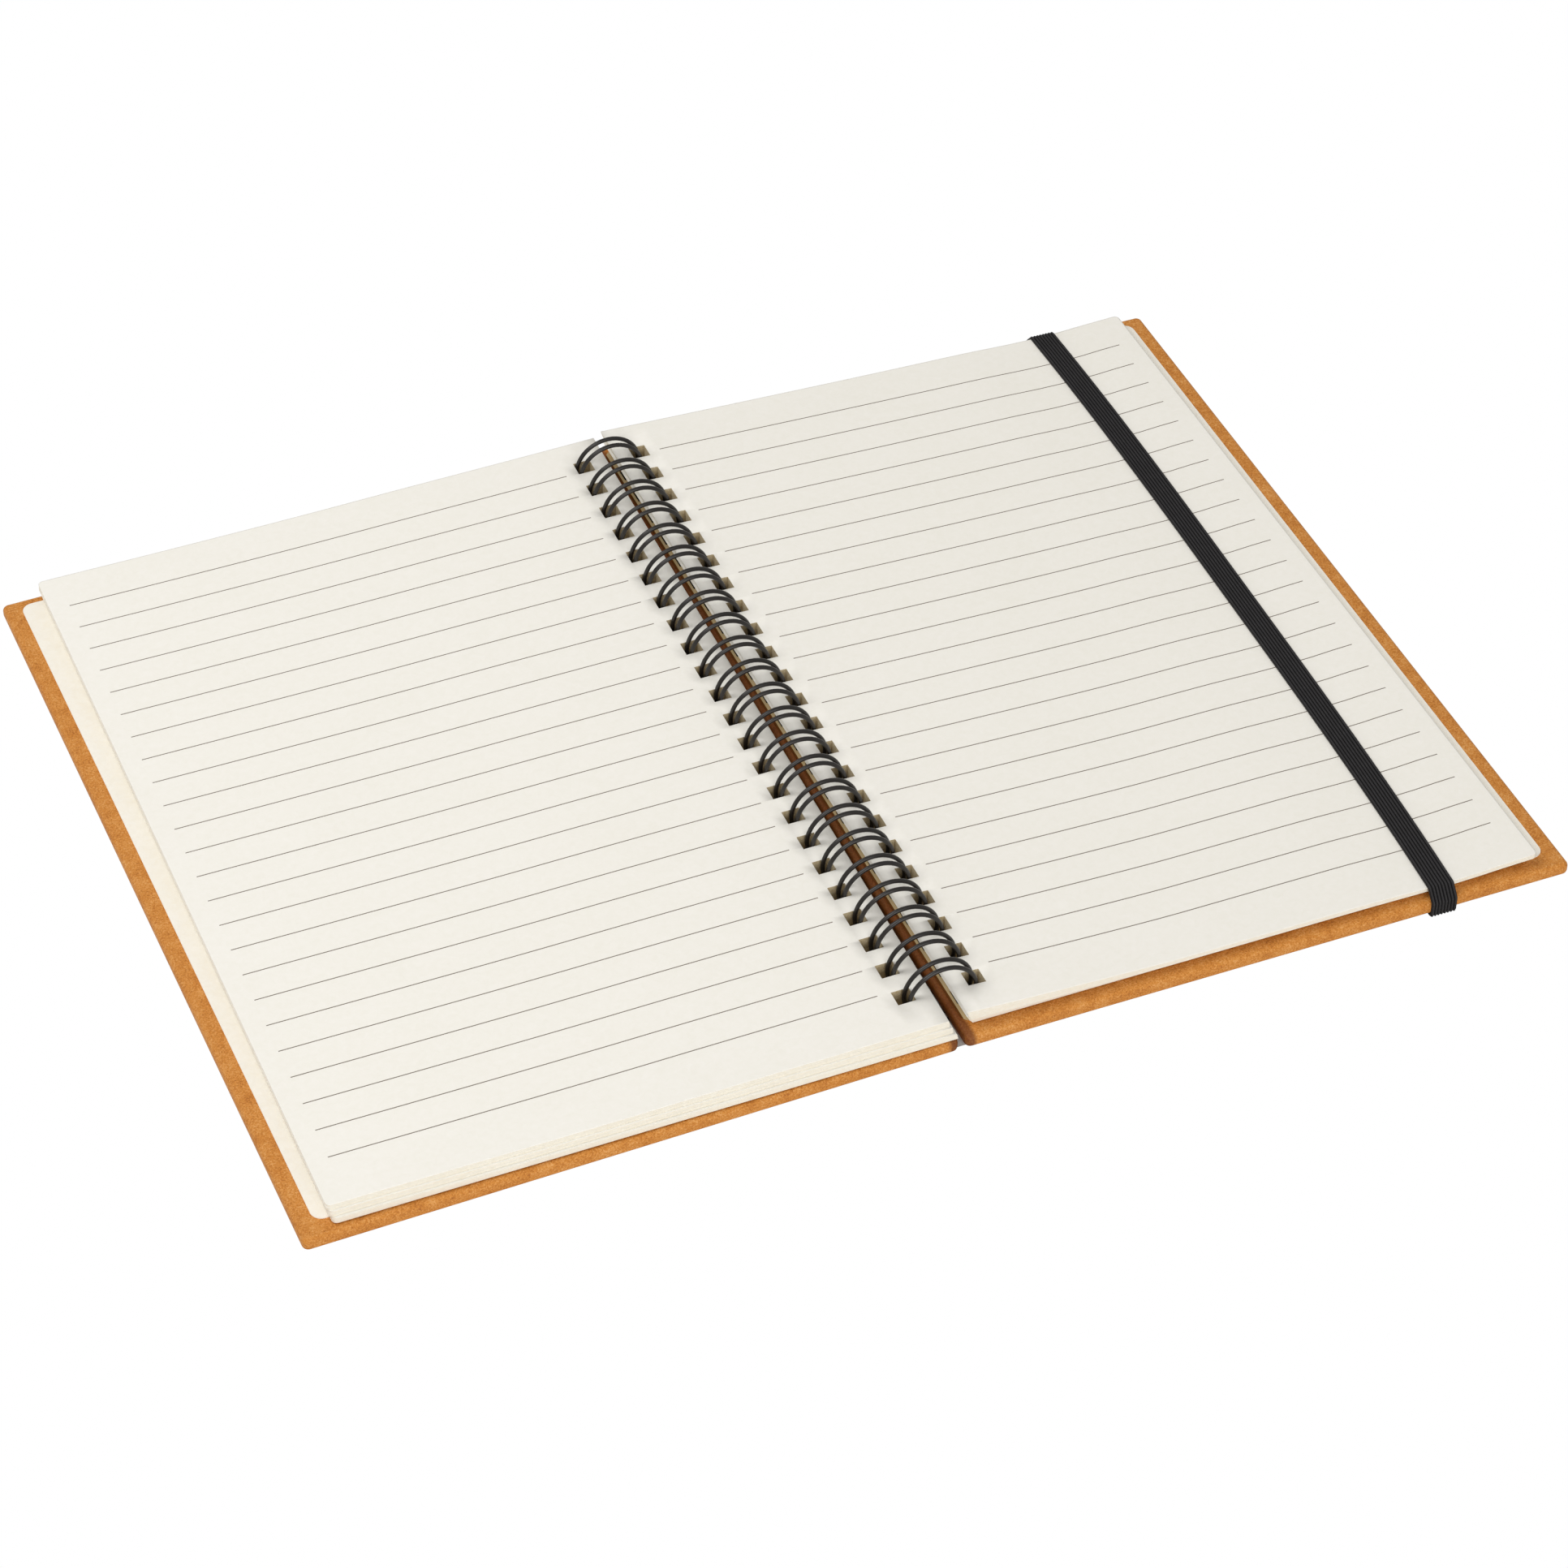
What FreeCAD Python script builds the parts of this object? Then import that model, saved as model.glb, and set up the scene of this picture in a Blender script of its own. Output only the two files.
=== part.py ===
import FreeCAD, Part
import math
import os

from FreeCAD import Vector

# A wire-bound hardcover notebook that lies open on a table, in millimetres.
# +X runs across the right-hand page, +Y to the head of the pages and +Z up.
# The origin is the middle of the footprint, on the table.

# Covers: a board wrapped in bonded leather, which is turned in over the inner face
COVER_WIDTH = 142.1
COVER_HEIGHT = 210.0
BOARD_THICKNESS = 2.1
LEATHER_THICKNESS = 0.5
COVER_CORNER_RADIUS = 1.4
LEATHER_EDGE_RADIUS = 1.1
COVER_GAP = 1.5
TURN_IN_WIDTH = 14.0

# Pastedowns: the sheets glued over the turned-in leather
PASTEDOWN_THICKNESS = 0.2
PASTEDOWN_MARGIN = 3.8
PASTEDOWN_HEAD_MARGIN = 2.4
PASTEDOWN_TAIL_MARGIN = 4.5
PASTEDOWN_SPINE_MARGIN = 1.3
PASTEDOWN_CORNER_RADIUS = 2.5

# Twin-loop wire: one wire bent into pairs of loops at three to the inch
LOOP_PITCH = 25.4 / 3
LOOP_END_MARGIN = 10.0
LOOP_INNER_DIAMETER = 14.2
LOOP_WIRE_SPACING = 2.6
WIRE_DIAMETER = 1.0
WIRE_SECTION = ((1, 0), (0, 1), (-1, 0), (0, -1), (1, 0))
LOOP_SIDES = 16
CLOSING_GAP = 0.45
CLOSING_SEAM_ANGLE = -84.0

# Punched holes
PAGE_HOLE_SIZE = 4.0
PAGE_HOLE_MARGIN = 3.7
COVER_HOLE_LENGTH = 4.0
COVER_HOLE_MARGIN = 2.35
HOLE_CLEARANCE = 0.15

# Page stacks: each is as many leaves as lie on that side
PAGE_WIDTH = 134.0
PAGE_END_MARGIN = 2.2
PAGE_CORNER_RADIUS = 1.5
STACK_CLEARANCE = 0.05

LEFT_STACK_SPINE_THICKNESS = 3.4
LEFT_STACK_EDGE_THICKNESS = 4.6
LEFT_STACK_SLANT = 0.9
LEFT_STACK_SKEW = 0.66
LEFT_STACK_RISE = -0.6
LEFT_STACK_STEPS = ((0.0, 0.34, 0.6, -0.6), (0.34, 0.7, 0.1, 0.2), (0.7, 1.0, 0.4, -0.2))

RIGHT_STACK_SPINE_THICKNESS = 2.25
RIGHT_STACK_BAND_THICKNESS = 2.1
RIGHT_STACK_EDGE_THICKNESS = 1.8
RIGHT_STACK_CURL = 0.5
RIGHT_STACK_SLANT = 1.0
RIGHT_STACK_SHIFT = 0.1
RIGHT_STACK_RISE = 0.2
RIGHT_STACK_STEPS = ((0.0, 0.45, 0.0, -0.3), (0.45, 1.0, 0.6, 0.2))

# Elastic band: its ends pass through slots in the back cover
ELASTIC_WIDTH = 6.0
ELASTIC_THICKNESS = 0.8
ELASTIC_EDGE_INSET = 28.95
ELASTIC_SKEW = 1.0
ELASTIC_ANCHOR_INSET = 16.5
ELASTIC_SLOT_CLEARANCE = 0.15

# Worked out from the values above
LOOP_COUNT = 1 + int((COVER_HEIGHT - 2 * LOOP_END_MARGIN) / LOOP_PITCH)
PAGE_HEIGHT = COVER_HEIGHT - 2 * PAGE_END_MARGIN
WIRE_RADIUS = WIRE_DIAMETER / 2
LOOP_RADIUS = LOOP_INNER_DIAMETER / 2 + WIRE_RADIUS
LOOP_CENTRE_Z = LOOP_RADIUS + WIRE_RADIUS
COVER_THICKNESS = BOARD_THICKNESS + 2 * LEATHER_THICKNESS
SPINE_EDGE_X = COVER_GAP / 2
BOARD_TOP = LEATHER_THICKNESS + BOARD_THICKNESS
INNER_FACE = COVER_THICKNESS + PASTEDOWN_THICKNESS

# The wire passes under each cover between its spine edge and its holes
COVER_HOLE_IN = SPINE_EDGE_X + COVER_HOLE_MARGIN
SPINE_LIFT = (
    LOOP_CENTRE_Z
    - math.sqrt((LOOP_RADIUS - WIRE_RADIUS) ** 2 - COVER_HOLE_IN**2)
    + HOLE_CLEARANCE
)
INNER_FACE_DROP = LOOP_CENTRE_Z - SPINE_LIFT - INNER_FACE
COVER_HOLE_OUT = HOLE_CLEARANCE + math.sqrt((LOOP_RADIUS + WIRE_RADIUS) ** 2 - INNER_FACE_DROP**2)

# The loops are at their widest where they pass through the leaves
WIRE_NEAR_X = math.sqrt((LOOP_RADIUS - WIRE_RADIUS) ** 2 - INNER_FACE_DROP**2)
WIRE_FAR_X = LOOP_RADIUS + WIRE_RADIUS
PAGE_HOLE_IN = (WIRE_NEAR_X + WIRE_FAR_X - PAGE_HOLE_SIZE) / 2
PAGE_SPINE_X = PAGE_HOLE_IN - PAGE_HOLE_MARGIN

ELASTIC_X = COVER_WIDTH - ELASTIC_EDGE_INSET
FRONT_TILT = math.degrees(math.asin(SPINE_LIFT / COVER_WIDTH))
ELASTIC_SIDEWAYS = (COVER_HEIGHT / 2 + ELASTIC_THICKNESS) * math.sin(math.radians(ELASTIC_SKEW))
ELASTIC_REACH = ELASTIC_X + ELASTIC_WIDTH / 2 + ELASTIC_SIDEWAYS
BACK_TILT = math.degrees(math.asin((SPINE_LIFT - ELASTIC_THICKNESS) / ELASTIC_REACH))


def box(x_range, y_range, z_range):
    """A box between three pairs of limits."""
    size = [high - low for low, high in (x_range, y_range, z_range)]
    return Part.makeBox(*size, Vector(x_range[0], y_range[0], z_range[0]))


def edges_along(shape, axis, where):
    """The straight edges of a shape that run along an axis and pass a test of their middle point."""
    found = []
    for edge in shape.Edges:
        if len(edge.Vertexes) < 2:
            continue
        run = edge.Vertexes[1].Point - edge.Vertexes[0].Point
        straight = abs(run.dot(axis)) > 0.999 * run.Length
        if straight and where(edge.CenterOfMass):
            found.append(edge)
    return found


def sheet(x_range, height, z_range, corner_radius, all_corners=True):
    """A flat sheet about the X axis with rounded corners, or with its fore-edge corners rounded only."""
    plate = box(x_range, (-height / 2, height / 2), z_range)
    middle = sum(x_range) / 2
    upright = edges_along(plate, Vector(0, 0, 1), lambda p: all_corners or p.x > middle)
    return plate.makeFillet(corner_radius, upright)


def loop_positions():
    """The places of the loop pairs along the spine, from tail to head."""
    return [(index - (LOOP_COUNT - 1) / 2) * LOOP_PITCH for index in range(LOOP_COUNT)]


def punches(x_range, length, z_range):
    """The row of square holes that the loops pass through, as cutting solids."""
    half = length / 2
    return [box(x_range, (y - half, y + half), z_range) for y in loop_positions()]


# Each cover is made flat, with its spine edge at X = 0, and is then set on the wire

def place_back(shape):
    """Set a piece that was made on the flat back cover down on the wire and the elastic."""
    shape.translate(Vector(SPINE_EDGE_X, 0, SPINE_LIFT))
    shape.rotate(Vector(SPINE_EDGE_X, 0, SPINE_LIFT), Vector(0, 1, 0), BACK_TILT)
    return shape


def place_front(shape):
    """Mirror a piece to the left side and set it down on the wire and the cover's fore-edge."""
    mirrored = shape.mirror(Vector(0, 0, 0), Vector(1, 0, 0))
    mirrored.translate(Vector(-SPINE_EDGE_X, 0, SPINE_LIFT))
    mirrored.rotate(Vector(-SPINE_EDGE_X, 0, SPINE_LIFT), Vector(0, 1, 0), -FRONT_TILT)
    return mirrored


def cover_punches():
    """The holes through a cover, on the flat cover."""
    x_range = (COVER_HOLE_IN - SPINE_EDGE_X, COVER_HOLE_OUT - SPINE_EDGE_X)
    return punches(x_range, COVER_HOLE_LENGTH, (-1.0, INNER_FACE + 1.0))


def window_range():
    """The limits of the board's bare middle, inside the turned-in leather."""
    return (TURN_IN_WIDTH, COVER_WIDTH - TURN_IN_WIDTH), COVER_HEIGHT - 2 * TURN_IN_WIDTH


def board():
    """The stiff board inside a cover."""
    x_range = (LEATHER_THICKNESS, COVER_WIDTH - LEATHER_THICKNESS)
    height = COVER_HEIGHT - 2 * LEATHER_THICKNESS
    corner = COVER_CORNER_RADIUS - LEATHER_THICKNESS
    plate = sheet(x_range, height, (LEATHER_THICKNESS, BOARD_TOP), corner)
    return plate.cut(cover_punches())


def cover_leather():
    """The leather that wraps a board: outer face, four edges and the margins turned in."""
    outer = sheet((0.0, COVER_WIDTH), COVER_HEIGHT, (0.0, COVER_THICKNESS), COVER_CORNER_RADIUS)
    middle = COVER_THICKNESS / 2
    rims = [edge for edge in outer.Edges if abs(edge.CenterOfMass.z - middle) > middle / 2]
    outer = outer.makeFillet(LEATHER_EDGE_RADIUS, rims)
    x_range, height = window_range()
    window = sheet(x_range, height, (BOARD_TOP, COVER_THICKNESS + 1.0), COVER_CORNER_RADIUS)
    return outer.cut([solid_board(), window] + cover_punches())


def solid_board():
    """The board before it is punched, as the space that it takes in the leather."""
    x_range = (LEATHER_THICKNESS, COVER_WIDTH - LEATHER_THICKNESS)
    height = COVER_HEIGHT - 2 * LEATHER_THICKNESS
    corner = COVER_CORNER_RADIUS - LEATHER_THICKNESS
    return sheet(x_range, height, (LEATHER_THICKNESS, BOARD_TOP), corner)


def pastedown():
    """The glued sheet: it lies on the turned-in margins and fills the window between them."""
    x_range = (PASTEDOWN_SPINE_MARGIN, COVER_WIDTH - PASTEDOWN_MARGIN)
    height = COVER_HEIGHT - PASTEDOWN_HEAD_MARGIN - PASTEDOWN_TAIL_MARGIN
    rim = sheet(x_range, height, (COVER_THICKNESS, INNER_FACE), PASTEDOWN_CORNER_RADIUS)
    rim.translate(Vector(0, (PASTEDOWN_TAIL_MARGIN - PASTEDOWN_HEAD_MARGIN) / 2, 0))
    inner_x, inner_height = window_range()
    filling = sheet(inner_x, inner_height, (BOARD_TOP, INNER_FACE), COVER_CORNER_RADIUS)
    return rim.fuse(filling).removeSplitter().cut(cover_punches())


def elastic_slots():
    """The two slots near head and tail of the back cover that the elastic passes through."""
    half = ELASTIC_WIDTH / 2 + ELASTIC_SLOT_CLEARANCE
    x_range = (ELASTIC_X - half, ELASTIC_X + half)
    outer = COVER_HEIGHT / 2 - ELASTIC_ANCHOR_INSET
    inner = outer - ELASTIC_THICKNESS - ELASTIC_SLOT_CLEARANCE
    slots = []
    for side in (-1, 1):
        y_range = sorted((side * inner, side * (outer + ELASTIC_SLOT_CLEARANCE)))
        slots.append(askew(box(x_range, y_range, (-1.0, BOARD_TOP))))
    return slots


def askew(shape):
    """Turn the elastic or its slots a little out of line with the cover's edge."""
    shape.rotate(Vector(ELASTIC_X, 0, 0), Vector(0, 0, 1), -ELASTIC_SKEW)
    return shape


def offset_path(points, distance):
    """The points of a path moved sideways to its right by a distance, with mitred corners."""
    moved = []
    for index, point in enumerate(points):
        before = point - points[index - 1] if index > 0 else points[1] - point
        after = points[index + 1] - point if index < len(points) - 1 else before
        sides = []
        for run in (before, after):
            run = run.normalize()
            sides.append(Vector(0, run.z, -run.y))
        mitre = sides[0] + sides[1]
        moved.append(point + mitre * (2 * distance / mitre.dot(mitre)))
    return moved


def elastic_band():
    """The band: out of one slot, round the tail of the cover, over the pages and back in at the head."""
    edge = COVER_HEIGHT / 2
    anchor = edge - ELASTIC_ANCHOR_INSET
    page_edge = PAGE_HEIGHT / 2 + STACK_CLEARANCE
    page_top = INNER_FACE + RIGHT_STACK_BAND_THICKNESS + 2 * STACK_CLEARANCE
    half = [(anchor, BOARD_TOP), (anchor, 0.0), (edge, 0.0), (edge, COVER_THICKNESS), (page_edge, page_top)]
    inner = [Vector(0, -y, z) for y, z in half] + [Vector(0, y, z) for y, z in reversed(half)]
    outer = offset_path(inner, -ELASTIC_THICKNESS)
    outline = Part.makePolygon(inner + outer[::-1] + inner[:1])
    band = Part.Face(outline).extrude(Vector(ELASTIC_WIDTH, 0, 0))
    band.translate(Vector(ELASTIC_X - ELASTIC_WIDTH / 2, 0, 0))
    return askew(band)


def level_points(profile, slant, level):
    """The points of one level through a stack: its spine end, its stations and its fore-edge end."""
    floor = INNER_FACE + STACK_CLEARANCE
    points = [Vector(x, 0, floor + base + thickness * level) for x, base, thickness in profile]
    points[0].x += slant * (1 - level)
    return points


def level_edges(points, curled):
    """The line of one level: straight between its stations, with a fore-edge that can curl up."""
    edges = []
    for start, end in zip(points, points[1:]):
        if curled and end is points[-1]:
            lowest = Vector((start.x + end.x) / 2, 0, start.z + (end.z - start.z) / 4)
            edges.append(Part.Arc(start, lowest, end).toShape())
        else:
            edges.append(Part.LineSegment(start, end).toShape())
    return edges


def stack_layer(profile, slant, levels, curled):
    """The leaves between two levels of a stack, before they are trimmed."""
    below, above = [level_points(profile, slant, level) for level in levels]
    sides = level_edges(below, curled) + level_edges(above, curled)
    ends = [Part.LineSegment(below[i], above[i]).toShape() for i in (0, -1)]
    outline = Part.Wire(Part.__sortEdges__(sides + ends))
    layer = Part.Face(outline).extrude(Vector(0, PAGE_HEIGHT + 4.0, 0))
    layer.translate(Vector(0, -PAGE_HEIGHT / 2 - 2.0, 0))
    return layer


def page_stack(profile, slant, rise, steps, curled):
    """A stack of punched leaves on the flat cover, as layers that lie a little out of line."""
    spine_x = profile[0][0]
    layers = []
    for low, high, edge_step, height_step in steps:
        x_range = (spine_x - 5.0, spine_x + PAGE_WIDTH - edge_step)
        height = PAGE_HEIGHT - abs(height_step)
        trim = sheet(x_range, height, (0.0, INNER_FACE + 20.0), PAGE_CORNER_RADIUS, False)
        trim.translate(Vector(0, rise + height_step / 2, 0))
        layers.append(stack_layer(profile, slant, (low, high), curled).common(trim))
    stack = layers[0].fuse(layers[1:]).removeSplitter()
    hole_in = spine_x + PAGE_HOLE_MARGIN
    return stack.cut(punches((hole_in, hole_in + PAGE_HOLE_SIZE), PAGE_HOLE_SIZE, (0.0, INNER_FACE + 20.0)))


def left_pages():
    """The leaves on the front cover, which lie a little askew in the slack of their holes."""
    spine_x = PAGE_SPINE_X - SPINE_EDGE_X
    profile = [
        (spine_x, 0.0, LEFT_STACK_SPINE_THICKNESS),
        (spine_x + PAGE_WIDTH + 1.0, 0.0, LEFT_STACK_EDGE_THICKNESS),
    ]
    stack = page_stack(profile, -LEFT_STACK_SLANT, LEFT_STACK_RISE, LEFT_STACK_STEPS, False)
    stack = place_front(stack)
    stack.rotate(Vector(0, 0, 0), Vector(0, 0, 1), -LEFT_STACK_SKEW)
    return stack


def right_pages():
    """The leaves on the back cover: the elastic presses them and their fore-edge curls up."""
    spine_x = PAGE_SPINE_X - SPINE_EDGE_X + RIGHT_STACK_SHIFT
    profile = [
        (spine_x, 0.0, RIGHT_STACK_SPINE_THICKNESS),
        (ELASTIC_X - ELASTIC_WIDTH / 2, 0.0, RIGHT_STACK_BAND_THICKNESS),
        (ELASTIC_X + ELASTIC_WIDTH / 2, 0.0, RIGHT_STACK_BAND_THICKNESS),
        (spine_x + PAGE_WIDTH + 1.0, RIGHT_STACK_CURL, RIGHT_STACK_EDGE_THICKNESS),
    ]
    return place_back(page_stack(profile, RIGHT_STACK_SLANT, RIGHT_STACK_RISE, RIGHT_STACK_STEPS, True))


def on_loop(step, y):
    """A corner of the loops' outline, counted from the root along the way that the wire is bent."""
    closing = math.degrees((WIRE_DIAMETER + CLOSING_GAP) / LOOP_RADIUS)
    turn = math.radians(CLOSING_SEAM_ANGLE + (360.0 - closing) * step / LOOP_SIDES)
    return Vector(LOOP_RADIUS * math.cos(turn), y, LOOP_CENTRE_Z + LOOP_RADIUS * math.sin(turn))


def loop_pair():
    """One pitch of the wire: half a root bar, a loop out, its tip, a loop back and half a root bar."""
    near = -LOOP_WIRE_SPACING / 2
    far = LOOP_WIRE_SPACING / 2
    path = [on_loop(0, -LOOP_PITCH / 2)]
    path += [on_loop(step, near) for step in range(LOOP_SIDES + 1)]
    path += [on_loop(step, far) for step in range(LOOP_SIDES, -1, -1)]
    path += [on_loop(0, LOOP_PITCH / 2)]
    start = path[0]
    section = [start + Vector(WIRE_RADIUS * x, 0, WIRE_RADIUS * z) for x, z in WIRE_SECTION]
    mitred = 1
    return Part.makePolygon(path).makePipeShell([Part.makePolygon(section)], True, False, mitred)


def twin_loop_wire():
    """The whole binding wire, cut off square in the middle of its end root bars."""
    pair = loop_pair()
    pairs = []
    for y in loop_positions():
        copy = pair.copy()
        copy.translate(Vector(0, y, 0))
        pairs.append(copy)
    return pairs[0].fuse(pairs[1:]).removeSplitter()


def build():
    """Every sub-part of the notebook by name."""
    slots = elastic_slots()
    return {
        "front_board": place_front(board()),
        "back_board": place_back(board().cut(slots)),
        "front_cover_leather": place_front(cover_leather()),
        "back_cover_leather": place_back(cover_leather().cut(slots)),
        "front_pastedown": place_front(pastedown()),
        "back_pastedown": place_back(pastedown()),
        "left_pages": left_pages(),
        "right_pages": right_pages(),
        "twin_loop_wire": twin_loop_wire(),
        "elastic_band": place_back(elastic_band()),
    }


def save(parts):
    """Write one STEP file for each sub-part and report what it holds."""
    os.makedirs("parts", exist_ok=True)
    for name, shape in parts.items():
        box_of = shape.BoundBox
        print(
            f"{name}: {len(shape.Solids)} solid, valid {shape.isValid()}, "
            f"{shape.Volume:.0f} mm3, z {box_of.ZMin:.3f} to {box_of.ZMax:.3f}"
        )
        shape.exportStep(f"parts/{name}.step")


save(build())
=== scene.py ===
import logging
import math
import random
from dataclasses import dataclass
from enum import Enum

import bmesh
import bpy
from mathutils import Matrix, Vector

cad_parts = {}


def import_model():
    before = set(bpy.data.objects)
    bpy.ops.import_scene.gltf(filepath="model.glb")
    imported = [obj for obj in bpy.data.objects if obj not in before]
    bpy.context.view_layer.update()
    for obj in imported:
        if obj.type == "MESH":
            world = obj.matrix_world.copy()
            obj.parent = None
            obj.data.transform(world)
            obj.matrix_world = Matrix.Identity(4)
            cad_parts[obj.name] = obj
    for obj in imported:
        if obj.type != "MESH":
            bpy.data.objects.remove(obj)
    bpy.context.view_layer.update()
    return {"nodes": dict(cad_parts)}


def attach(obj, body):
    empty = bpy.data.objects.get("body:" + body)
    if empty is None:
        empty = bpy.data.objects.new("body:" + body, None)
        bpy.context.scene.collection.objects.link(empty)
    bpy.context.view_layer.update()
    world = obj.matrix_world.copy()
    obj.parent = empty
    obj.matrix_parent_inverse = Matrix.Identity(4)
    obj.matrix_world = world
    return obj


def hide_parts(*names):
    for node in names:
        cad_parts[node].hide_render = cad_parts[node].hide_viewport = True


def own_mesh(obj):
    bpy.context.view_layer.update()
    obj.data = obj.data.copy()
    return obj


LOG = logging.getLogger("notebook")
MM = 0.001

# Covers, in millimetres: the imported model's own values, set on the wire with a small tilt
COVER_GAP = 1.5
COVER_WIDTH = 142.1
COVER_HEIGHT = 210.0
COVER_THICKNESS = 3.1
BOARD_TOP = 2.6
INNER_FACE = 3.3
BED_SPINE_Z = 5.16
RIGHT_BED_FORE_Z = 3.87
SPINE_LIFT = 1.8625
BACK_TILT = 0.516
PAGE_REST = 0.06

# Leaves and their punched holes
PAGE_WIDTH = 134.0
PAGE_HEIGHT = 205.6
PAGE_CORNER_RADIUS = 1.2
PAGE_HOLE_SIZE = 4.0
PAGE_HOLE_MARGIN = 3.7
LEAF_FILL = 0.97
OUTER_ROW = 98.0
LEAF_JITTER = 0.06
COLUMN_PITCH = 5.0
CORNER_SHARES = (1.0, 0.6, 0.25, 0.0)
CURL_REACH = 20.0
LOFT_FADE = 1.3
LOFT_DEPTH = 1.6

# Ruling: 5/16 inch apart
LINE_PITCH = 25.4 * 5 / 16
LINE_COUNT = 24
LINE_WIDTH = 0.27
LINE_HEAD_MARGIN = 10.4
LINE_SPINE_MARGIN = 10.6
LINE_FORE_MARGIN = 4.5

# Twin-loop wire: a flat zigzag of wire that is rolled round the loops' axis
LOOP_COUNT = 23
LOOP_PITCH = 25.4 / 3
LOOP_WIRE_SPACING = 2.6
LOOP_RADIUS = 7.6
LOOP_CENTRE_Z = 8.1
LOOP_SEAM_ANGLE = -84.0
LOOP_SWEEP = 349.07
WIRE_RADIUS = 0.5
WIRE_BEND_RADIUS = 1.1
WIRE_SIDES = 12
WIRE_BEND_STEPS = 6
WIRE_LONGEST_RUN = 1.0

# Elastic band
ELASTIC_WIDTH = 6.0
ELASTIC_THICKNESS = 0.8
ELASTIC_X = 113.15
ELASTIC_SKEW = 1.0
ELASTIC_ANCHOR_INSET = 16.5
ELASTIC_BEND_RADIUS = 0.3
ELASTIC_PAGE_EDGE = 102.85
ELASTIC_PAGE_TOP = 5.5
ELASTIC_RIBS = 8
ELASTIC_RIB_DEPTH = 0.32
ELASTIC_BOW = 1.7
ELASTIC_RIB_STEPS = 6
# Steps of each rib's section whose faces get the painted shade of the grooves
ELASTIC_GROOVE_SHADE_STEPS = (0, 1)
ELASTIC_BOW_POWER = 3
ELASTIC_BEND_STEPS = 5
ELASTIC_LONGEST_RUN = 8.0


# Surface flecks: a fine noise, with a coarser one mixed in
FLECK_FINE_DETAIL = 6.0
FLECK_FINE_ROUGHNESS = 0.7
FLECK_FINE_DISTORTION = 0.6
FLECK_BROAD_RATIO = 9
FLECK_BROAD_DETAIL = 4.0
FLECK_BROAD_SHARE = 0.22
FLECK_DARK_END = 0.36
FLECK_LIGHT_END = 0.66


class Side(Enum):
    """The two halves of the open notebook, by the sign of X."""

    LEFT = -1
    RIGHT = 1


def linear(hex_colour: str) -> tuple[float, float, float, float]:
    """Turn an sRGB hex value into a linear colour.

    Args:
        hex_colour: Six hex digits.

    Returns:
        Red, green, blue and alpha.
    """
    values = [int(hex_colour[i : i + 2], 16) / 255 for i in (0, 2, 4)]
    red, green, blue = (v / 12.92 if v <= 0.04045 else ((v + 0.055) / 1.055) ** 2.4 for v in values)
    return red, green, blue, 1.0


def add_node(tree: bpy.types.NodeTree, kind: str, inputs: dict, **settings) -> bpy.types.Node:
    """Add a shader node, set its properties and fill or link its inputs.

    Args:
        tree: The node tree.
        kind: The node's type name.
        inputs: Values or output sockets by input name or index.
        **settings: Properties of the node.

    Returns:
        The node.
    """
    node = tree.nodes.new(kind)
    for name, value in settings.items():
        setattr(node, name, value)
    for name, value in inputs.items():
        if isinstance(value, bpy.types.NodeSocket):
            tree.links.new(value, node.inputs[name])
        else:
            node.inputs[name].default_value = value
    return node


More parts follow.
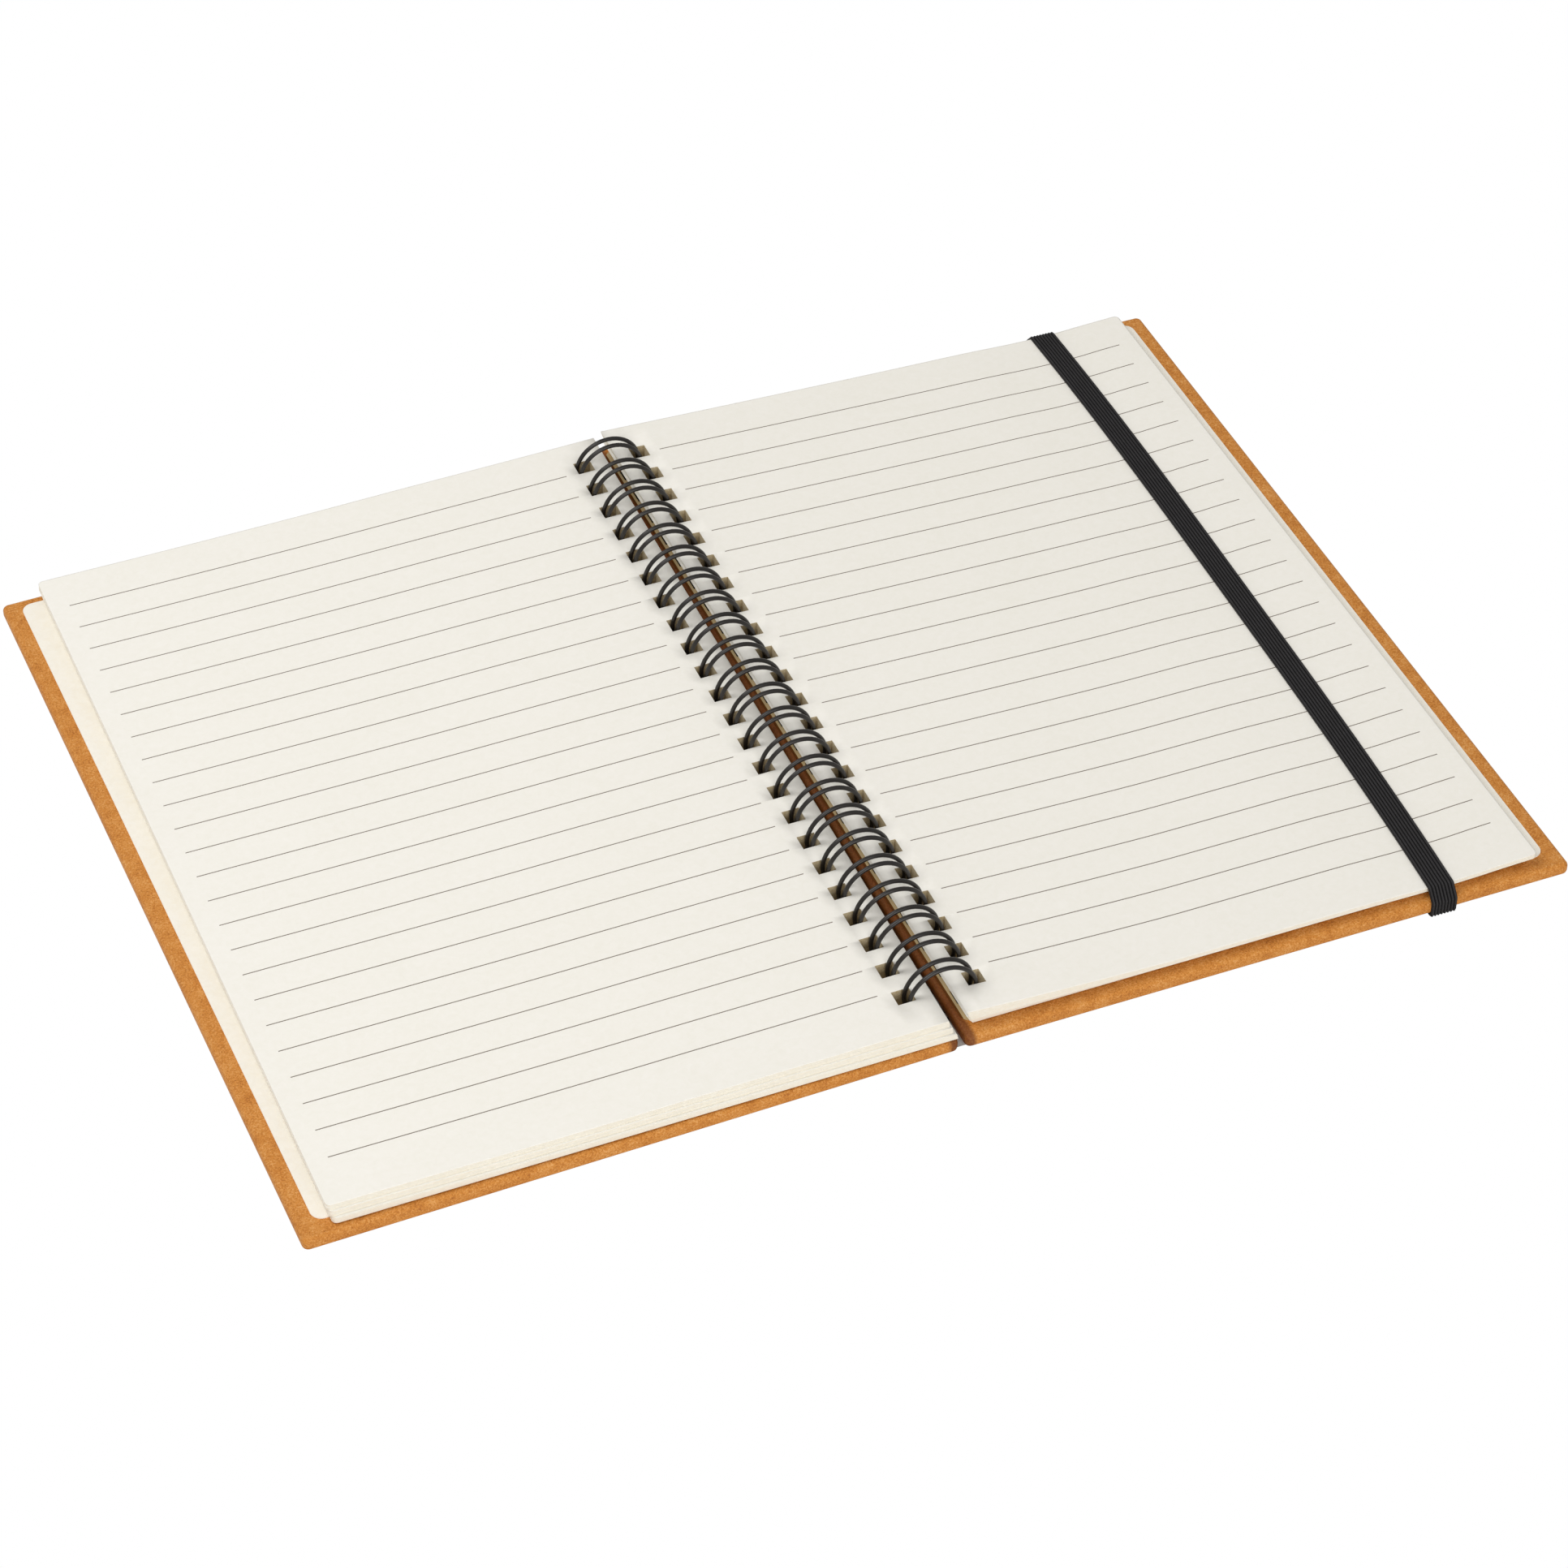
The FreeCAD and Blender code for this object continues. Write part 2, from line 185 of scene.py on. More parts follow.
@dataclass(frozen=True)
class Finish:
    """A surface: its colours, and how rough, bumpy and shiny it is.

    Attributes:
        name: The material's name.
        slot: A material slot's name; not used.
        base: Main colour in sRGB hex.
        dark: Colour of the dark flecks.
        light: Colour of the light flecks.
        roughness: Roughness from 0 to 1.
        specular: Specular level from 0 to 1.
        grain: Flecks per metre, or 0 for a plain colour.
        bump: Height of the relief in metres.
        painted_spine_shade: Pairs of distance from the binding in millimetres and tone in sRGB hex. They paint
        the shade under the loops, so it stays in every pose and light.
    """

    name: str
    slot: str
    base: str
    dark: str = ""
    light: str = ""
    roughness: float = 0.85
    specular: float = 0.2
    grain: float = 0.0
    bump: float = 0.0
    painted_spine_shade: tuple[tuple[float, str], ...] = ()

    def build(self) -> bpy.types.Material:
        """Make the material.

        Returns:
            The Blender material.
        """
        material = bpy.data.materials.new(self.name)
        material.use_nodes = True
        tree = material.node_tree
        shader = tree.nodes["Principled BSDF"]
        shader.inputs["Base Color"].default_value = linear(self.base)
        shader.inputs["Roughness"].default_value = self.roughness
        shader.inputs["Specular IOR Level"].default_value = self.specular
        if self.grain:
            self.add_grain(tree, shader)
        if self.painted_spine_shade:
            self.add_painted_spine_shade(tree, shader)
        return material

    def add_painted_spine_shade(self, tree: bpy.types.NodeTree, shader: bpy.types.Node) -> None:
        """Paint shade on the surface near the binding by toning its colour down.

        Args:
            tree: The material's node tree.
            shader: The Principled BSDF node, whose colour is linked.
        """
        place = add_node(tree, "ShaderNodeTexCoord", {}).outputs["Object"]
        across = add_node(tree, "ShaderNodeSeparateXYZ", {"Vector": place}).outputs["X"]
        distance = add_node(tree, "ShaderNodeMath", {0: across}, operation="ABSOLUTE").outputs[0]
        reach = self.painted_spine_shade[-1][0]
        share = add_node(tree, "ShaderNodeMath", {0: distance, 1: reach * MM}, operation="DIVIDE").outputs[0]
        ramp = add_node(tree, "ShaderNodeValToRGB", {"Fac": share})
        stops = ramp.color_ramp.elements
        stops[0].color = linear(self.painted_spine_shade[0][1])
        stops[-1].color = linear(self.painted_spine_shade[-1][1])
        for millimetres, tone in self.painted_spine_shade[1:-1]:
            stops.new(millimetres / reach).color = linear(tone)
        plain = shader.inputs["Base Color"].links[0].from_socket
        mix = add_node(tree, "ShaderNodeMix", {}, data_type="RGBA", blend_type="MULTIPLY")
        colours = {socket.name: socket for socket in mix.inputs if socket.type == "RGBA"}
        mix.inputs["Factor"].default_value = 1.0
        tree.links.new(plain, colours["A"])
        tree.links.new(ramp.outputs["Color"], colours["B"])
        result = next(socket for socket in mix.outputs if socket.type == "RGBA")
        tree.links.new(result, shader.inputs["Base Color"])

    def add_grain(self, tree: bpy.types.NodeTree, shader: bpy.types.Node) -> None:
        """Add the flecks of the surface to its colour and relief.

        Args:
            tree: The material's node tree.
            shader: The Principled BSDF node.
        """
        place = add_node(tree, "ShaderNodeTexCoord", {}).outputs["Object"]
        fibres = {"Vector": place, "Scale": self.grain, "Detail": FLECK_FINE_DETAIL}
        fibres |= {"Roughness": FLECK_FINE_ROUGHNESS, "Distortion": FLECK_FINE_DISTORTION}
        fine = add_node(tree, "ShaderNodeTexNoise", fibres).outputs["Fac"]
        clouds = {"Vector": place, "Scale": self.grain / FLECK_BROAD_RATIO, "Detail": FLECK_BROAD_DETAIL}
        broad = add_node(tree, "ShaderNodeTexNoise", clouds).outputs["Fac"]
        blended = {"Factor": FLECK_BROAD_SHARE, "A": fine, "B": broad}
        mixed = add_node(tree, "ShaderNodeMix", blended, data_type="FLOAT").outputs["Result"]
        ramp = add_node(tree, "ShaderNodeValToRGB", {"Fac": mixed})
        stops = ramp.color_ramp.elements
        stops[0].position, stops[0].color = FLECK_DARK_END, linear(self.dark)
        stops[1].position, stops[1].color = FLECK_LIGHT_END, linear(self.light)
        stops.new(0.5).color = linear(self.base)
        tree.links.new(ramp.outputs["Color"], shader.inputs["Base Color"])
        if self.bump:
            relief = add_node(tree, "ShaderNodeBump", {"Height": fine, "Distance": self.bump})
            tree.links.new(relief.outputs["Normal"], shader.inputs["Normal"])


# Painted shade: the leather is darkened within 2.4 mm of the binding, fading out by 3.4 mm, for the shade
# under the loops and leaves
LEATHER_PAINTED_SHADE = ((0.0, "A08C7C"), (2.4, "A08C7C"), (3.4, "FFFFFF"))
LEATHER = Finish(
    name="bonded_leather",
    slot="cover_leather",
    base="D48934",
    dark="AA621D",
    light="ECB26D",
    roughness=0.55,
    specular=0.35,
    grain=2600.0,
    bump=0.00014,
    painted_spine_shade=LEATHER_PAINTED_SHADE,
)
BOARD = Finish(
    name="grey_board",
    slot="cover_board",
    base="A89C8A",
    dark="8F8474",
    light="BDB3A2",
    roughness=0.9,
    grain=900.0,
)
# Painted shade on the lining near the binding: its brown end paints the leather's turned-in edge wider than
# the imported model's, in the dark tone of leather in shade, and its khaki tones paint the shade that falls on
# the paper beside it
LINING_PAINTED_SHADE = ((0.0, "704318"), (2.5, "704318"), (2.55, "D2BF98"), (7.5, "D8C8A4"), (12.0, "FFFFFF"))
PASTEDOWN = Finish(
    name="pastedown_paper",
    slot="pastedown_paper",
    base="F8F4EA",
    dark="F6F1E5",
    light="FAF7EF",
    grain=700.0,
    painted_spine_shade=LINING_PAINTED_SHADE,
)
PAPER = Finish(name="page_paper", slot="page_paper", base="F9F6EE", dark="F7F4EB", light="FBF8F1", grain=600.0)
INK = Finish(name="ruled_line_ink", slot="page_paper", base="8C837A")
# Painted shade: the cut edges inside the punched holes are a darker tan than the other cut edges, for the
# shade of the loops in the holes
HOLE_EDGE_SHADE = Finish(
    name="punched_leaf_edges_painted_shade", slot="page_paper", base="D9C7A2", dark="C4AE84", light="E6D8B8", grain=2000.0
)
LEAF_EDGE = Finish(
    name="cut_leaf_edges", slot="page_paper", base="F7F1E2", dark="F3ECDB", light="FAF6EA", grain=900.0
)
WIRE = Finish(name="coated_wire", slot="wire", base="1F1B19", roughness=0.33, specular=0.5)
ELASTIC = Finish(
    name="woven_elastic",
    slot="elastic",
    base="222022",
    dark="1A181A",
    light="302E30",
    roughness=0.6,
    specular=0.4,
    grain=2500.0,
    bump=0.00003,
)
# Painted shade: a near-black colour on the faces in the dips between the ribs, for the shade in the grooves
ELASTIC_GROOVE_SHADE = Finish(name="woven_elastic_painted_groove_shade", slot="elastic", base="0C0B0C", roughness=0.9)


class Looks:
    """The scene's materials, each made once."""

    def __init__(self) -> None:
        self.made: dict[str, bpy.types.Material] = {}

    def give(self, obj: bpy.types.Object, *finishes: Finish) -> None:
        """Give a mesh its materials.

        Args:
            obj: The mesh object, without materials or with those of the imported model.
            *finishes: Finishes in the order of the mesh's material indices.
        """
        if obj.data.materials:
            obj.data.materials.clear()
        for finish in finishes:
            if finish.name not in self.made:
                self.made[finish.name] = finish.build()
            obj.data.materials.append(self.made[finish.name])


def new_object(name: str, bm: bmesh.types.BMesh) -> bpy.types.Object:
    """Make an object at the origin from a finished mesh.

    Args:
        name: The object's name.
        bm: The mesh in millimetres, which is freed.

    Returns:
        The object, in metres.
    """
    bmesh.ops.recalc_face_normals(bm, faces=bm.faces)
    bmesh.ops.scale(bm, vec=(MM, MM, MM), verts=bm.verts)
    mesh = bpy.data.meshes.new(name)
    bm.to_mesh(mesh)
    bm.free()
    obj = bpy.data.objects.new(name, mesh)
    bpy.context.scene.collection.objects.link(obj)
    return obj


def smooth(share: float) -> float:
    """Ease a share from 0 to 1 with level ends, clamped outside them."""
    share = min(1.0, max(0.0, share))
    return share * share * (3 - 2 * share)


def loop_positions() -> list[float]:
    """The places of the loop pairs along the spine, from tail to head."""
    return [(index - (LOOP_COUNT - 1) / 2) * LOOP_PITCH for index in range(LOOP_COUNT)]


def rounded(points: list[Vector], radius: float, steps: int) -> list[Vector]:
    """Round the corners of a flat path.

    Args:
        points: The path's corners.
        radius: The radius of every bend.
        steps: Pieces of each bend.

    Returns:
        The points of the rounded path.
    """
    path = [points[0]]
    for before, corner, after in zip(points, points[1:], points[2:]):
        back = (before - corner).normalized()
        ahead = (after - corner).normalized()
        half = back.angle(ahead) / 2
        centre = corner + (back + ahead).normalized() * (radius / math.sin(half))
        start = corner + back * (radius / math.tan(half)) - centre
        end = corner + ahead * (radius / math.tan(half)) - centre
        turn = start.angle(end)
        for step in range(steps + 1):
            part = turn * step / steps
            path.append(centre + (start * math.sin(turn - part) + end * math.sin(part)) / math.sin(turn))
    return path + [points[-1]]


def refined(path: list[Vector], longest: float) -> list[Vector]:
    """Split the long runs of a path.

    Args:
        path: The path's points.
        longest: The longest run that stays whole.

    Returns:
        The points of the refined path.
    """
    fine = [path[0]]
    for start, end in zip(path, path[1:]):
        pieces = max(1, math.ceil((end - start).length / longest))
        fine += [start.lerp(end, piece / pieces) for piece in range(1, pieces + 1)]
    return fine


def add_skin(bm: bmesh.types.BMesh, rings: list[list[Vector]], second: frozenset[int] = frozenset()) -> None:
    """Add a closed skin through a row of rings, with flat ends.

    Args:
        bm: The mesh.
        rings: The rings' points, each ring with as many.
        second: The places in a ring that get the mesh's second material.
    """
    rows = [[bm.verts.new(point) for point in ring] for ring in rings]
    for row, following in zip(rows, rows[1:]):
        for index in range(len(row)):
            corners = (row[index - 1], row[index], following[index], following[index - 1])
            face = bm.faces.new(corners)
            face.smooth = True
            face.material_index = int(index in second)
    bm.faces.new(rows[0])
    bm.faces.new(rows[-1])


@dataclass(frozen=True)
class Bed:
    """The inner face of a cover, which a stack of leaves lies on.

    Attributes:
        side: Which half of the notebook it is.
        spine_z: Height of the inner face at the spine edge, in millimetres.
        fore_z: Height of the inner face at the fore-edge.
    """

    side: Side
    spine_z: float
    fore_z: float

    @property
    def slope(self) -> float:
        """The fall of the inner face towards the fore-edge."""
        return (self.spine_z - self.fore_z) / COVER_WIDTH

    def height(self, from_middle: float) -> float:
        """The height of the inner face at a distance from the middle of the binding."""
        return self.spine_z - self.slope * (from_middle - COVER_GAP / 2)

    def upward(self) -> Vector:
        """The direction square to the inner face."""
        return Vector((self.side.value * self.slope, 0.0, 1.0)).normalized()


@dataclass(frozen=True)
class Bundle:
    """Leaves that lie together, a little out of line with the others.

    Attributes:
        top: Share of the stack's height that the bundle reaches up to.
        fore_shift: Its shift towards the spine, in millimetres.
        head_shift: Its shift towards the head.
    """

    top: float
    fore_shift: float
    head_shift: float


@dataclass(frozen=True)
class Loft:
    """How far the loops push the top leaf up near the spine.

    Attributes:
        heights: Extra height at the spine edge at tail, middle and head, in millimetres.
        reaches: How far from the spine edge it fades out at tail and head.
    """

    heights: tuple[float, float, float]
    reaches: tuple[float, float]

    def at(self, x: float, y: float) -> float:
        """The extra height of the top leaf.

        Args:
            x: Distance from the spine edge.
            y: Place along the spine.

        Returns:
            The height in millimetres.
        """
        share = y / PAGE_HEIGHT
        tail, middle, head = self.heights
        height = middle + (head - tail) * share + 2 * (head + tail - 2 * middle) * share * share
        reach = self.reaches[0] + (self.reaches[1] - self.reaches[0]) * (share + 0.5)
        return height * max(0.0, 1 - x / reach) ** LOFT_FADE


@dataclass(frozen=True)
class Stack:
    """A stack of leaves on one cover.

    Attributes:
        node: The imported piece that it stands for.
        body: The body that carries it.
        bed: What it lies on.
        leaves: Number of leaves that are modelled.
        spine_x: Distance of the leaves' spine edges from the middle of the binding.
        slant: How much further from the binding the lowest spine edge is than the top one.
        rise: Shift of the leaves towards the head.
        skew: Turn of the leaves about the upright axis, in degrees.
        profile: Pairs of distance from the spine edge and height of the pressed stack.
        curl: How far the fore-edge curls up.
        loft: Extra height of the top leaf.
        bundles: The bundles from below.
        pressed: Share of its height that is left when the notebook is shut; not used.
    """

    node: str
    body: str
    bed: Bed
    leaves: int
    spine_x: float
    slant: float
    rise: float
    skew: float
    profile: tuple[tuple[float, float], ...]
    curl: float
    loft: Loft
    bundles: tuple[Bundle, ...]
    pressed: float

    def thickness(self, x: float) -> float:
        """The height of the pressed stack at a distance from its spine edge."""
        for (x0, z0), (x1, z1) in zip(self.profile, self.profile[1:]):
            if x <= x1:
                return z0 + (z1 - z0) * smooth((x - x0) / (x1 - x0))
        return self.profile[-1][1]

    def bundle(self, level: float) -> Bundle:
        """The bundle that a level of the stack belongs to."""
        return next(bundle for bundle in self.bundles if level <= bundle.top + 1e-6)

    def height(self, x: float, y: float, level: float) -> float:
        """The height above the bed of a level of the stack.

        Args:
            x: Distance from the spine edge.
            y: Place along the spine.
            level: Share of the stack's height.

        Returns:
            The height in millimetres.
        """
        curl = self.curl * smooth((x - PAGE_WIDTH + CURL_REACH) / CURL_REACH)
        return PAGE_REST + self.thickness(x) * level + curl + self.loft.at(x, y) * level**LOFT_DEPTH


LEFT_STACK = Stack(
    node="left_pages",
    body="left_leaves",
    bed=Bed(Side.LEFT, BED_SPINE_Z, INNER_FACE),
    leaves=26,
    spine_x=1.55,
    slant=-0.9,
    rise=-0.8,
    skew=-0.66,
    profile=((0.0, 3.5), (60.0, 3.9), (135.0, 4.55)),
    curl=0.0,
    loft=Loft((1.25, 0.9, 1.95), (115.0, 115.0)),
    bundles=(Bundle(0.36, 0.9, -0.9), Bundle(0.72, 0.35, -0.35), Bundle(1.0, 0.0, 0.1)),
    pressed=0.62,
)
RIGHT_STACK = Stack(
    node="right_pages",
    body="back_cover",
    bed=Bed(Side.RIGHT, BED_SPINE_Z, RIGHT_BED_FORE_Z),
    leaves=16,
    spine_x=1.8,
    slant=2.6,
    rise=0.2,
    skew=0.0,
    profile=(
        (0.0, 2.3),
        (60.0, 2.35),
        (92.0, 2.4),
        (107.5, 2.08),
        (116.5, 2.08),
        (126.0, 2.35),
        (135.0, 2.5),
    ),
    curl=0.45,
    loft=Loft((2.3, 2.7, 3.7), (50.0, 115.0)),
    bundles=(Bundle(0.6, 0.6, 1.2), Bundle(1.0, 0.0, 0.1)),
    pressed=0.4,
)


class LeafMaker:
    """Builds the leaves of a stack as thin punched solids."""

    def __init__(self, stack: Stack, seed: int) -> None:
        self.stack = stack
        self.chance = random.Random(seed)
        self.holes = [y - stack.rise for y in loop_positions()]
        self.shift = Vector((0.0, 0.0))

    def build(self) -> bpy.types.Object:
        """Build every leaf of the stack.

        Returns:
            The object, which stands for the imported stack.
        """
        bm = bmesh.new()
        for index in range(self.stack.leaves):
            self.add_leaf(bm, index)
        loose = [vert for vert in bm.verts if not vert.link_faces]
        bmesh.ops.delete(bm, geom=loose, context="VERTS")
        return new_object(self.stack.node + "_leaves", bm)

    def add_leaf(self, bm: bmesh.types.BMesh, index: int) -> None:
        """Add one leaf.

        Args:
            bm: The stack's mesh.
            index: Number of the leaf from below.
        """
        count = self.stack.leaves
        top = index == count - 1
        levels = (index / count, (index + LEAF_FILL) / count)
        bundle = self.stack.bundle(levels[1])
        jitter = 0.0 if top else LEAF_JITTER
        self.shift = Vector((-bundle.fore_shift, bundle.head_shift))
        self.shift += Vector((self.chance.uniform(-jitter, jitter), self.chance.uniform(-jitter, jitter)))
        across = self.columns()
        along = self.rows(top)
        layers = [
            [[bm.verts.new(self.point(x, y, level)) for x in across] for y in along]
            for level in levels
        ]
        grid = [[self.is_paper(x, y) for x in middles(across)] for y in middles(along)]
        for row, y in enumerate(middles(along)):
            for column, x in enumerate(middles(across)):
                if grid[row][column]:
                    self.add_cell(bm, layers, row, column, top and self.is_line(x, y))
        self.add_cut_edges(bm, layers, grid)

    def columns(self) -> list[float]:
        """The places across a leaf where its mesh is divided."""
        hole_end = PAGE_HOLE_MARGIN + PAGE_HOLE_SIZE
        line_end = PAGE_WIDTH - LINE_FORE_MARGIN
        count = round((line_end - LINE_SPINE_MARGIN) / COLUMN_PITCH)
        plain = [LINE_SPINE_MARGIN + (line_end - LINE_SPINE_MARGIN) * k / count for k in range(count + 1)]
        corner = [PAGE_WIDTH - PAGE_CORNER_RADIUS * share for share in CORNER_SHARES]
        return [0.0, PAGE_HOLE_MARGIN, hole_end] + plain + corner

    def rows(self, top: bool) -> list[float]:
        """The places along a leaf where its mesh is divided."""
        edge = PAGE_HEIGHT / 2
        rows = [edge - PAGE_CORNER_RADIUS * share for share in CORNER_SHARES]
        rows += [-row for row in rows]
        rows += [hole + side * PAGE_HOLE_SIZE / 2 for hole in self.holes for side in (-1, 1)]
        if top:
            lines = [edge - LINE_HEAD_MARGIN - index * LINE_PITCH for index in range(LINE_COUNT)]
            rows += [line + side * LINE_WIDTH / 2 for line in lines for side in (-1, 1)]
        return sorted(rows)

    def is_paper(self, x: float, y: float) -> bool:
        """Whether a place on a leaf is outside its punched holes."""
        beside = not PAGE_HOLE_MARGIN < x < PAGE_HOLE_MARGIN + PAGE_HOLE_SIZE
        return beside or all(abs(y - hole) > PAGE_HOLE_SIZE / 2 for hole in self.holes)

    def is_line(self, x: float, y: float) -> bool:
        """Whether a place on a leaf is on a ruled line."""
        place = (PAGE_HEIGHT / 2 - LINE_HEAD_MARGIN - y) / LINE_PITCH
        near = abs(place - round(place)) * LINE_PITCH < LINE_WIDTH / 2
        in_ruling = LINE_SPINE_MARGIN < x < PAGE_WIDTH - LINE_FORE_MARGIN
        return near and in_ruling and -0.5 < place < LINE_COUNT - 0.5

    def point(self, x: float, y: float, level: float) -> Vector:
        """A point of a leaf in the notebook's frame.

        Args:
            x: Distance from the leaf's spine edge.
            y: Place along the leaf.
            level: Share of the stack's height.

        Returns:
            The point in millimetres.
        """
        stack = self.stack
        own_x, own_y = self.corner_rounded(x, y)
        from_middle = stack.spine_x + own_x
        if x == 0.0:
            from_middle += stack.slant * (1 - level) + self.shift.x
        elif x > LINE_SPINE_MARGIN:
            from_middle += self.shift.x
        z = stack.bed.height(from_middle) + stack.height(own_x, own_y, level)
        shift_y = self.shift.y if abs(y) > OUTER_ROW else 0.0
        flat = Vector((stack.bed.side.value * from_middle, own_y + stack.rise + shift_y, z))
        return Matrix.Rotation(math.radians(stack.skew), 3, "Z") @ flat

    def corner_rounded(self, x: float, y: float) -> tuple[float, float]:
        """Move a point of a square fore-edge corner on to a rounded one."""
        inner_x = PAGE_WIDTH - PAGE_CORNER_RADIUS
        inner_y = PAGE_HEIGHT / 2 - PAGE_CORNER_RADIUS
        if x <= inner_x or abs(y) <= inner_y:
            return x, y
        a = (x - inner_x) / PAGE_CORNER_RADIUS
        b = (abs(y) - inner_y) / PAGE_CORNER_RADIUS
        round_a = a * math.sqrt(1 - b * b / 2) * PAGE_CORNER_RADIUS
        round_b = b * math.sqrt(1 - a * a / 2) * PAGE_CORNER_RADIUS
        return inner_x + round_a, math.copysign(inner_y + round_b, y)

    def add_cell(self, bm: bmesh.types.BMesh, layers: list, row: int, column: int, inked: bool) -> None:
        """Add the lower and upper face of one cell of a leaf."""
        for layer, material in zip(layers, (0, int(inked))):
            near, far = layer[row], layer[row + 1]
            corners = (near[column], near[column + 1], far[column + 1], far[column])
            face = bm.faces.new(corners)
            face.material_index = material
            face.smooth = True

    def add_cut_edges(self, bm: bmesh.types.BMesh, layers: list, grid: list[list[bool]]) -> None:
        """Add a leaf's cut edges, round its outline and in its holes."""
        lower, upper = layers
        rows, columns = len(grid), len(grid[0])

        def paper(row: int, column: int) -> bool:
            return 0 <= row < rows and 0 <= column < columns and grid[row][column]

        for row in range(rows + 1):
            for column in range(columns + 1):
                for next_row, next_column, beside, punched in (
                    (row, column + 1, paper(row - 1, column), 0 < row < rows),
                    (row + 1, column, paper(row, column - 1), 0 < column < columns),
                ):
                    if next_row > rows or next_column > columns or beside == paper(row, column):
                        continue
                    ends = ((row, column), (next_row, next_column))
                    start, end = (lower[i][j] for i, j in ends)
                    above_start, above_end = (upper[i][j] for i, j in ends)
                    bm.faces.new((start, end, above_end, above_start)).material_index = 2 + punched


def middles(values: list[float]) -> list[float]:
    """The middles between neighbouring values."""
    return [(low + high) / 2 for low, high in zip(values, values[1:])]


def build_wire() -> bpy.types.Object:
    """Build the binding wire as a round tube with rounded bends.

    Returns:
        The object.
    """
    length = LOOP_RADIUS * math.radians(LOOP_SWEEP)
    half = LOOP_WIRE_SPACING / 2
    corners = [Vector((0.0, -LOOP_COUNT * LOOP_PITCH / 2))]
    for y in loop_positions():
        corners += [Vector((0.0, y - half)), Vector((length, y - half))]
        corners += [Vector((length, y + half)), Vector((0.0, y + half))]
    corners.append(Vector((0.0, LOOP_COUNT * LOOP_PITCH / 2)))
    path = refined(rounded(corners, WIRE_BEND_RADIUS, WIRE_BEND_STEPS), WIRE_LONGEST_RUN)
    places = []
    outwards = []
    for along, y in path:
        turn = math.radians(LOOP_SEAM_ANGLE) + along / LOOP_RADIUS
        outwards.append(Vector((math.cos(turn), 0.0, math.sin(turn))))
        places.append(outwards[-1] * LOOP_RADIUS + Vector((0.0, y, LOOP_CENTRE_Z)))
    rings = []
    for index, place in enumerate(places):
        run = places[min(index + 1, len(places) - 1)] - places[max(index - 1, 0)]
        sideways = run.cross(outwards[index]).normalized()
        outward = sideways.cross(run).normalized()
        turns = [2 * math.pi * side / WIRE_SIDES for side in range(WIRE_SIDES)]
        rings.append([place + (outward * math.cos(t) + sideways * math.sin(t)) * WIRE_RADIUS for t in turns])
    bm = bmesh.new()
    add_skin(bm, rings)
    return new_object("round_binding_wire", bm)


def on_back_cover(point: Vector) -> Vector:
    """Set a point of the flat back cover's elastic down in the notebook's frame."""
    skewed = Matrix.Rotation(math.radians(-ELASTIC_SKEW), 3, "Z") @ (point - Vector((ELASTIC_X, 0, 0)))
    tilted = Matrix.Rotation(math.radians(BACK_TILT), 3, "Y") @ (skewed + Vector((ELASTIC_X, 0, 0)))
    return tilted + Vector((COVER_GAP / 2, 0, SPINE_LIFT))


def elastic_path() -> list[Vector]:
    """The inner line of the elastic band on the flat cover, as pairs of Y and Z from tail to head."""
    edge = COVER_HEIGHT / 2
    anchor = edge - ELASTIC_ANCHOR_INSET
    head = [(ELASTIC_PAGE_EDGE, ELASTIC_PAGE_TOP), (edge, COVER_THICKNESS), (edge, 0.0)]
    head += [(anchor, 0.0), (anchor, BOARD_TOP)]
    tail = [(-y, z) for y, z in reversed(head)]
    corners = [Vector(pair) for pair in tail + head]
    return refined(rounded(corners, ELASTIC_BEND_RADIUS, ELASTIC_BEND_STEPS), ELASTIC_LONGEST_RUN)


def build_elastic() -> bpy.types.Object:
    """Build the elastic band with its lengthwise ribs.

    Returns:
        The object.
    """
    path = elastic_path()
    steps = ELASTIC_RIBS * ELASTIC_RIB_STEPS
    section = [(ELASTIC_WIDTH / 2, 0.0), (-ELASTIC_WIDTH / 2, 0.0)]
    for step in range(steps + 1):
        dip = 0.5 + 0.5 * math.cos(2 * math.pi * step / ELASTIC_RIB_STEPS)
        height = ELASTIC_THICKNESS - ELASTIC_RIB_DEPTH * dip
        section.append((ELASTIC_WIDTH * (step / steps - 0.5), height))
    rings = []
    for index, place in enumerate(path):
        run = (path[min(index + 1, len(path) - 1)] - path[max(index - 1, 0)]).normalized()
        outward = Vector((-run.y, run.x))
        ring = []
        for across, height in section:
            y, z = place + outward * height
            bow = 0.0
            if z > COVER_THICKNESS:
                bow = ELASTIC_BOW * max(0.0, 1 - abs(y / ELASTIC_PAGE_EDGE) ** ELASTIC_BOW_POWER)
            ring.append(on_back_cover(Vector((ELASTIC_X + across + bow, y, z))))
        rings.append(ring)
    ribbed = range(1, steps + 1)
    # The faces in the dips between the ribs get the painted groove shade
    shaded_grooves = [2 + step for step in ribbed if step % ELASTIC_RIB_STEPS in ELASTIC_GROOVE_SHADE_STEPS]
    bm = bmesh.new()
    add_skin(bm, rings, frozenset(shaded_grooves))
    return new_object("ribbed_elastic_band", bm)


